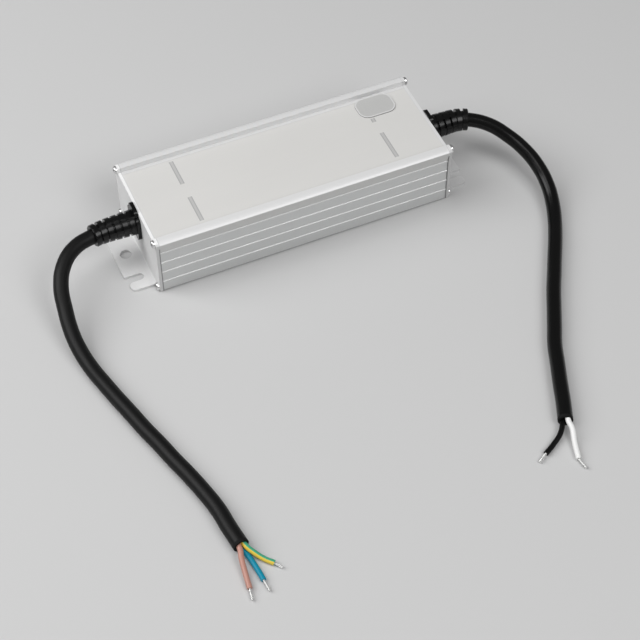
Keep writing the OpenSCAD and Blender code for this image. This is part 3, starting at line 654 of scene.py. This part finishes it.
def cord_skin(name, colour, roughness, stripe=None, stripe_at=0.0, **values):
    """Extruded insulation, with a stripe of another colour along it if given, at a place round it."""
    finish = Finish(name, **values)
    fine = finish.noise(0.35, detail=3)
    tone = finish.mix(fine, dimmed(colour, 0.88), dimmed(colour, 1.1))
    if stripe:
        other = finish.mix(fine, dimmed(stripe, 0.9), dimmed(stripe, 1.08))
        apart = finish.round_cord().around(stripe_at, 1).size()
        tone = finish.mix(apart.below(STRIPE_HALF), tone, other)
    finish.set(Base_Color=tone, Roughness=roughness - 0.04 + fine * 0.08)
    return finish.bump(fine, 0.2, 0.02)


def drawn_wire(name, level):
    """Tinned copper: bright, with small flats where the tin has run."""
    finish = Finish(name, Metallic=0.6)
    run = finish.noise(0.5)
    finish.set(
        Base_Color=finish.mix(run, grey(level - 22), grey(level + 14, 1, 1, 0.98)),
        Roughness=0.2 + run * 0.16,
    )
    return finish.bump(run, 0.2, 0.03)


# The boards' half sizes, and the height of the upright one's top edge
BOARD_HALF_X, BOARD_HALF_Y = 76.7, 28.2
ADJUSTER_HALF_X, ADJUSTER_TOP = 9.9, 28.9
# The cells that tracks run between and that pads stand in, with both widths as parts of a cell
TRACK_CELL, TRACK_W = 4.6, 0.11
PAD_CELL, PAD_HALF = 4.2, 0.12


def on_main_edge(x, y, z):
    """1 on the sawn edges of the main board."""
    return x.size().above(BOARD_HALF_X).most(y.size().above(BOARD_HALF_Y))


def on_adjuster_edge(x, y, z):
    """1 on the sawn edges of the upright board."""
    return (x - PLUG_X).size().above(ADJUSTER_HALF_X).most(z.above(ADJUSTER_TOP))


def board_laminate(name, on_edge):
    """Green solder mask over copper tracks, bare glass fibre where the board was sawn."""
    finish = Finish(name)
    x, y, z = finish.axes()
    edge = on_edge(x, y, z)
    weave = finish.noise(0.4, detail=3)
    between = finish.cells(TRACK_CELL, "F2") - finish.cells(TRACK_CELL)
    track = between.below(TRACK_W) * (1 - edge)
    pad = finish.cells(PAD_CELL).below(PAD_HALF) * (1 - edge)
    mask = finish.mix(weave, shown(16, 78, 48), shown(26, 96, 60))
    colour = finish.mix(track, mask, shown(48, 130, 84))
    colour = finish.mix(edge, colour, finish.mix(weave, shown(160, 152, 108), shown(190, 182, 138)))
    finish.set(
        Base_Color=finish.mix(pad, colour, grey(205)), Metallic=pad * 0.95,
        Roughness=0.38 + edge * 0.4 - pad * 0.1,
    )
    return finish.bump(track + pad * 1.4 + weave * 0.15, 0.4, 0.05)


def insulation_film():
    """Thin polyester film, slightly milky, with long soft waves."""
    finish = Finish("insulation_film", Coat_Weight=0.3)
    wave = finish.noise(14, (4, 1, 1))
    finish.set(
        Base_Color=finish.mix(wave, shown(214, 208, 178), shown(232, 227, 200)),
        Roughness=0.3 + wave * 0.15,
    )
    return finish.bump(wave, 0.3, 0.4)


WIRE_PITCH = 2.9


def wires_side_by_side(name, colours, striped=False):
    """Insulated leads side by side across Y, each in its own colour, the last striped if asked."""
    finish = Finish(name)
    y = finish.axes()[1]
    fine = finish.noise(0.4, detail=3)
    count = len(colours)
    colour = colours[0]
    for k, other in enumerate(colours[1:], 1):
        colour = finish.mix(y.above((k - count / 2) * WIRE_PITCH), colour, other)
    if striped:
        colour = finish.mix(y.above((count - 1) / 2 * WIRE_PITCH), colour, shown(232, 204, 66))
    finish.set(
        Base_Color=finish.mix(fine * 0.3, colour, grey(90)), Roughness=0.36 + fine * 0.1
    )
    return finish.bump(fine, 0.2, 0.02)


DISC_LEGS_TOP = 8.75


def coated_disc(name, colour):
    """A disc dipped in glossy epoxy, on tinned legs."""
    finish = Finish(name, Coat_Weight=0.4, Coat_Roughness=0.15)
    z = finish.axes()[2]
    leg = z.below(DISC_LEGS_TOP)
    dip = finish.noise(2.5)
    finish.set(
        Base_Color=finish.mix(
            leg, finish.mix(dip, dimmed(colour, 0.8), dimmed(colour, 1.15)), grey(205)
        ),
        Metallic=leg, Roughness=0.34 - leg * 0.08,
    )
    return finish.bump(dip + finish.noise(0.5) * 0.2, 0.4, 0.12)


# A can's top: how thin it counts as, the rim that the sleeve covers, and its scored lines
CAN_TOP_T, SLEEVE_RIM, SCORE_HALF = 0.05, 1.3, 0.22
# The stripe on its sleeve, and the marks on that, with two widths as parts of the radius
STRIPE_FROM, MARK_REACH = 0.82, 0.16
MARK_PITCH, MARK_HALF = 4, 0.9


def sleeved_can(name, middles, pitch, radius, top):
    """Electrolytic cans in a row along Y: a sleeve with a pale stripe, a bare aluminium top."""
    finish = Finish(name, Coat_Weight=0.3)
    x, y, z = finish.axes()
    across, along = x - middles[0], y.around(middles[1], pitch)
    out = (across * across + along * along).root()
    cap = z.above(top - CAN_TOP_T) * out.below(radius - SLEEVE_RIM)
    stripe = across.below(-radius * STRIPE_FROM) * (1 - cap)
    marks = z.around(0, MARK_PITCH).size().below(MARK_HALF)
    marks = marks * along.size().below(radius * MARK_REACH) * stripe
    fine = finish.noise(0.6)
    sleeve = finish.mix(fine, shown(26, 36, 74), shown(36, 48, 90))
    colour = finish.mix(stripe, sleeve, shown(178, 186, 204))
    colour = finish.mix(marks, colour, shown(30, 40, 78))
    # The scored lines on the bare top get painted shade
    scored = across.size().least(along.size()).below(SCORE_HALF) * cap
    finish.set(
        Base_Color=finish.mix(cap, colour, finish.mix(scored, grey(208), grey(120))),
        Metallic=cap, Roughness=0.32 + fine * 0.08,
    )
    return finish.bump(fine * 0.3 - scored, 0.4, 0.1)


# The toroid's middle, and its winding's phase per radian round it
TOROID_Y, TOROID_Z, TOROID_TURN = -8, 19.2, 26
# The phase per millimetre of height of the other two windings
BOOST_TURN, DRUM_TURN = 9, 7


def round_the_core(x, y, z):
    """Phase of the toroid's winding."""
    return (y - TOROID_Y).angle(z - TOROID_Z) * TOROID_TURN


def wound_copper(name, turns):
    """Enamelled copper wire, with painted shade in the hollows between its turns; turns gives the
    phase.
    """
    finish = Finish(name, Metallic=0.75, Coat_Weight=0.6, Coat_Roughness=0.12)
    wave = turns(*finish.axes()).sine()
    patch = finish.noise(3)
    round_top = wave * 0.5 + 0.5
    # Painted shade darkens the hollows between the turns against their paler tops
    finish.set(
        Base_Color=finish.mix(
            round_top * 0.7 + patch * 0.3, shown(110, 52, 22), shown(206, 118, 62)
        ),
        Roughness=0.3 + patch * 0.08,
    )
    return finish.bump(round_top, 0.8, 0.35)


JOINT_HALF = 0.08


def ferrite(name, seam):
    """Sintered ferrite: dark, matt and finely pitted, with the joint of its two halves."""
    finish = Finish(name)
    z = finish.axes()[2]
    pits = finish.noise(0.22, detail=3)
    joint = z.near(seam, JOINT_HALF)
    finish.set(
        Base_Color=finish.mix(
            joint, finish.mix(pits, shown(48, 48, 52), shown(74, 74, 79)), grey(20)
        ),
        Roughness=0.6 + pits * 0.2,
    )
    return finish.bump(pits - joint, 0.3, 0.06)


# The tape's laps and its end seam
LAP_PITCH, LAP_HALF = 4.2, 0.14
SEAM_X, SEAM_Y, SEAM_HALF = 28.5, -6, 0.15


def lapped_tape():
    """Yellow polyester tape: glossy, with the edge of each lap and one end seam."""
    finish = Finish("lapped_tape", Coat_Weight=0.5, Coat_Roughness=0.2)
    x, y, z = finish.axes()
    lap = z.around(0, LAP_PITCH).size().below(LAP_HALF)
    seam = (x - SEAM_X).size().below(SEAM_HALF) * y.below(SEAM_Y)
    crease = finish.noise(2.2, (4, 4, 1))
    colour = finish.mix(crease, shown(214, 172, 52), shown(238, 200, 84))
    finish.set(
        Base_Color=finish.mix(lap.most(seam) * 0.6, colour, shown(150, 112, 30)),
        Roughness=0.32 + crease * 0.1,
    )
    return finish.bump(crease * 0.6 - lap, 0.4, 0.12)


# Beyond this Y a power device is its bare metal back
DEVICE_BACK_Y = 24.2


def epoxy_package(name, legs_below, metal_tab=None):
    """A black moulded package on tinned legs, with a bare tab if given its lowest height."""
    finish = Finish(name)
    _, y, z = finish.axes()
    bare = z.below(legs_below)
    if metal_tab:
        bare = bare.most(z.above(metal_tab)).most(y.above(DEVICE_BACK_Y))
    fine = finish.noise(0.22, detail=3)
    black = finish.mix(fine, grey(26), grey(38))
    finish.set(
        Base_Color=finish.mix(bare, black, finish.mix(fine, grey(178), grey(212))),
        Metallic=bare, Roughness=0.52 - bare * 0.2 + fine * 0.12,
    )
    return finish.bump(fine, 0.3, 0.04)


EPOXY_TOP = 9


def boxed_capacitor():
    """Yellow plastic box with a matt skin, filled with darker epoxy at its foot."""
    finish = Finish("boxed_capacitor")
    fill = finish.axes()[2].below(EPOXY_TOP)
    fine = finish.noise(0.3, detail=3)
    box = finish.mix(fine, shown(206, 170, 50), shown(222, 186, 66))
    finish.set(
        Base_Color=finish.mix(fill, box, shown(150, 112, 44)), Roughness=0.4 + fine * 0.08
    )
    return finish.bump(fine, 0.3, 0.03)


# The two rotors' places, the height of their slots' floor, and radians of ring per millimetre
ROTOR_X, ROTOR_PITCH, ROTOR_Y = 56.3, 9.5, 19.05
SLOT_FLOOR = 28.85
RING_TURN = 26


def brass_rotor():
    """Turned brass with its rings about the rotor's axis, and painted shade in its slot."""
    finish = Finish("brass_rotor", Metallic=1.0)
    x, y, z = finish.axes()
    across = x.around(ROTOR_X, ROTOR_PITCH)
    away = y - ROTOR_Y
    rings = ((across * across + away * away).root() * RING_TURN).sine()
    slot = z.below(SLOT_FLOOR)
    # Painted shade at half strength below the slot's floor height
    finish.set(
        Base_Color=finish.mix(
            slot * 0.5, finish.mix(rings * 0.5 + 0.5, shown(206, 176, 104), shown(226, 200, 132)),
            shown(90, 70, 36),
        ),
        Roughness=0.26 + finish.noise(0.6) * 0.12,
    )
    return finish.bump(rings, 0.15, 0.02)


BROWN = shown(186, 136, 122)
BLUE = shown(0, 136, 164)
GREEN = shown(64, 162, 126)
YELLOW = shown(232, 202, 76)
BLACK = shown(4, 4, 4)
WHITE = shown(240, 240, 239)
PLATE = {"metal": 0.15, "roughness": 0.5, "longer": (1, 30, 30)}

tinned = drawn_wire("tinned_wire", 232)
trimmer_plastic = moulding("trimmer_plastic", shown(38, 84, 160), 0.38, 0.4)
rotor_brass = brass_rotor()
# A name that ends in _ stands for the pieces of both ends
finishes = {
    "case_extrusion": case_aluminium(),
    # The end plates' top edges get a painted highlight, brighter at the input end than at the output
    # end
    "end_plate_input": sheet_aluminium("input_plate_sheet", 223, **PLATE, edge_highlight=248),
    "end_plate_output": sheet_aluminium("output_plate_sheet", 214, **PLATE, edge_highlight=222),
    "end_gasket_": gasket_rubber(),
    "end_screws_": screw_steel(),
    "cable_gland_": moulding("boot_rubber", grey(5), 0.24, 0.6, 0.02, Specular_IOR_Level=0.33),
    "adjuster_plug": plug_rubber(),
    "circuit_board": board_laminate("main_board", on_main_edge),
    "adjuster_board": board_laminate("adjuster_board_laminate", on_adjuster_edge),
    "insulating_film": insulation_film(),
    "input_leads": wires_side_by_side("input_wires", [BROWN, BLUE, GREEN], striped=True),
    "output_leads": wires_side_by_side("output_wires", [BLACK, WHITE]),
    "fuse": moulding("fuse_case", grey(44), 0.4),
    "varistor": coated_disc("varistor_coat", shown(36, 92, 170)),
    "thermistor": coated_disc("thermistor_coat", shown(44, 66, 52)),
    "y_capacitors": coated_disc("ceramic_coat", shown(60, 120, 190)),
    "x_capacitors": boxed_capacitor(),
    "choke_base": moulding("choke_base_plastic", grey(36), 0.5),
    "choke_core": moulding("choke_core_coat", shown(66, 96, 74), 0.45, 0.3),
    "choke_windings": wound_copper("choke_copper", round_the_core),
    "bridge_rectifier": epoxy_package("bridge_package", legs_below=14.55),
    "power_transistors": epoxy_package("transistor_package", legs_below=11.95, metal_tab=21.25),
    "output_rectifiers": epoxy_package("rectifier_package", legs_below=11.95, metal_tab=21.25),
    "heat_spreader": sheet_aluminium("spreader_bar", 206, 0.8, 0.42, longer=(60, 1, 1)),
    "device_screws": sheet_aluminium("device_screw_steel", 198, 1.0, 0.26, longer=(1, 1, 1)),
    "boost_choke_core": ferrite("boost_ferrite", seam=18.6),
    "boost_choke_bobbin": moulding("boost_bobbin_plastic", grey(34), 0.5),
    "boost_choke_winding": wound_copper("boost_copper", lambda x, y, z: z * BOOST_TURN),
    "transformer_core": ferrite("transformer_ferrite", seam=19.6),
    "transformer_bobbin": moulding("transformer_bobbin_plastic", grey(34), 0.5),
    "transformer_winding": lapped_tape(),
    "bulk_capacitor": sleeved_can("bulk_sleeve", (5, -13), pitch=40, radius=9, top=29.6),
    "output_capacitors": sleeved_can("output_sleeve", (48, -18), pitch=9.5, radius=4, top=25.6),
    "output_choke_core": ferrite("drum_ferrite", seam=0),
    "output_choke_winding": wound_copper("drum_copper", lambda x, y, z: z * DRUM_TURN),
    "optocouplers": moulding("optocoupler_plastic", shown(226, 226, 222), 0.45, 0.3),
    "control_chips": moulding("chip_epoxy", grey(32), 0.5, 0.2),
    "voltage_trimmer": trimmer_plastic,
    "current_trimmer": trimmer_plastic,
    "voltage_rotor": rotor_brass,
    "current_rotor": rotor_brass,
}
for name, finish in finishes.items():
    for node in nodes:
        if node == name or (name.endswith("_") and node.startswith(name)):
            dress(nodes[node], finish)

jacket_cut = moulding("jacket_cut", grey(14), 0.7, 0.6, 0.1, Specular_IOR_Level=0.2)
for end in ("input", "output"):
    dress(ends[end], jacket_cut)
dress(leads["input"], cord_skin("matte_jacket", grey(14), 0.45, Specular_IOR_Level=0.2))
dress(leads["output"], cord_skin("gloss_jacket", grey(8), 0.22, Specular_IOR_Level=0.26))
core_skins = {
    "brown": cord_skin("brown_skin", BROWN, 0.4),
    "blue": cord_skin("blue_skin", BLUE, 0.4, Specular_IOR_Level=0.3),
    "earth": cord_skin("earth_skin", GREEN, 0.4, stripe=YELLOW, stripe_at=0.46),
    "black": cord_skin("black_skin", BLACK, 0.36, Specular_IOR_Level=0.2),
    "white": cord_skin("white_skin", WHITE, 0.4),
}
for colour, skin in core_skins.items():
    dress(cores[colour], skin)
    dress(strands[colour], tinned)


# Floor, light and world

FLOOR_LEVEL = 200
FLOOR_HALF = 6

floor_mesh = bmesh.new()
bmesh.ops.create_grid(floor_mesh, x_segments=1, y_segments=1, size=FLOOR_HALF)
floor = finish_mesh(floor_mesh, "floor")
floor_finish = Finish("floor_paper", Base_Color=grey(FLOOR_LEVEL), Roughness=0.9)
floor_finish.set(Specular_IOR_Level=0.1)
dress(floor, floor_finish)

WORLD_STRENGTH = 0.2
# Each lamp's place in metres, size and watts
LAMPS = {
    "left_lamp": ((-1.0, 0.32, 0.9), 0.9, 10.5),
    "top_lamp": ((-0.6, 0.1, 2.0), 1.2, 11.5),
    "front_right_lamp": ((0.42, -1.1, 1.3), 0.9, 12),
}

world = bpy.data.worlds.new("studio")
bpy.context.scene.world = world
world.use_nodes = True
world.node_tree.nodes["Background"].inputs["Color"].default_value = (1, 1, 1, 1)
world.node_tree.nodes["Background"].inputs["Strength"].default_value = WORLD_STRENGTH


def soft_box(name, place, size, watts):
    """A square lamp that faces the middle of the case."""
    data = bpy.data.lights.new(name, "AREA")
    data.shape = "SQUARE"
    data.size = size
    data.energy = watts
    lamp = bpy.data.objects.new(name, data)
    lamp.location = place
    lamp.rotation_euler = (-Vector(place)).to_track_quat("-Z", "Y").to_euler()
    bpy.context.collection.objects.link(lamp)


for name, lamp in LAMPS.items():
    soft_box(name, *lamp)

bpy.context.view_layer.update()
